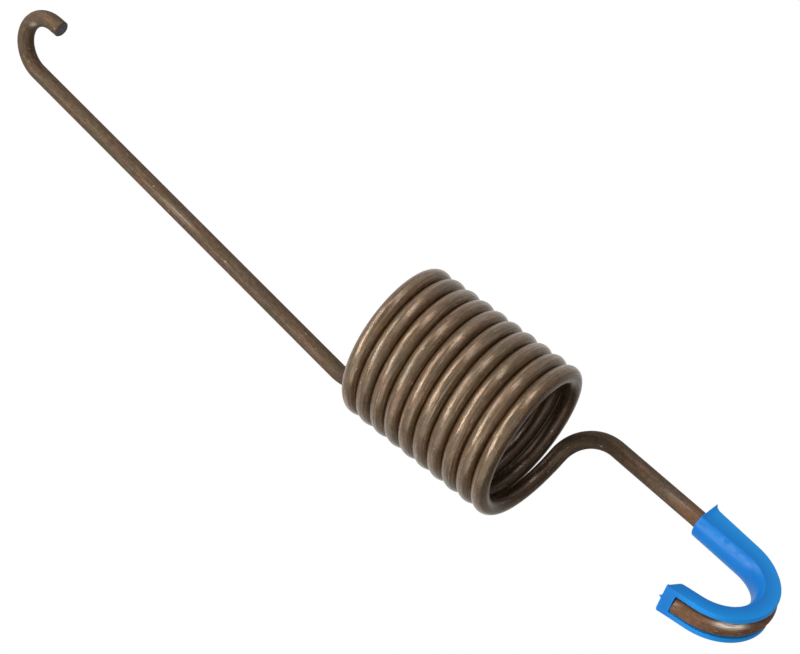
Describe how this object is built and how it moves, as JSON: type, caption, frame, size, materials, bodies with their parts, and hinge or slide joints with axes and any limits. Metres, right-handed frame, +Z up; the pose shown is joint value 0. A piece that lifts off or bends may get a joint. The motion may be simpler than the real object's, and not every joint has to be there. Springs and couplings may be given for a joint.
{
  "type": "washing machine tub spring",
  "caption": "Close wound extension spring with a short and a long straight leg, each ending in a hook; the short leg's hook wears a moulded plastic liner.",
  "frame": {"origin": "seat of the upper hook, inside the plastic liner at the top of the bend, where the cabinet bracket bears", "axes": "+Z up along the axis of the coil, towards the lined hook; the lined hook lies in the XZ plane with its leg on the -X side and its tip on the +X side"},
  "size_m": [0.0385, 0.0384, 0.2246],
  "materials": {
    "spring_wire": "hardened spring wire with a brown oiled scale, satin, worn bright in places",
    "hook_liner": "moulded, satin gloss"
  },
  "bodies": {
    "root": {"spring_wire": "spring_wire", "hook_liner": "hook_liner"}
  },
  "joints": []
}
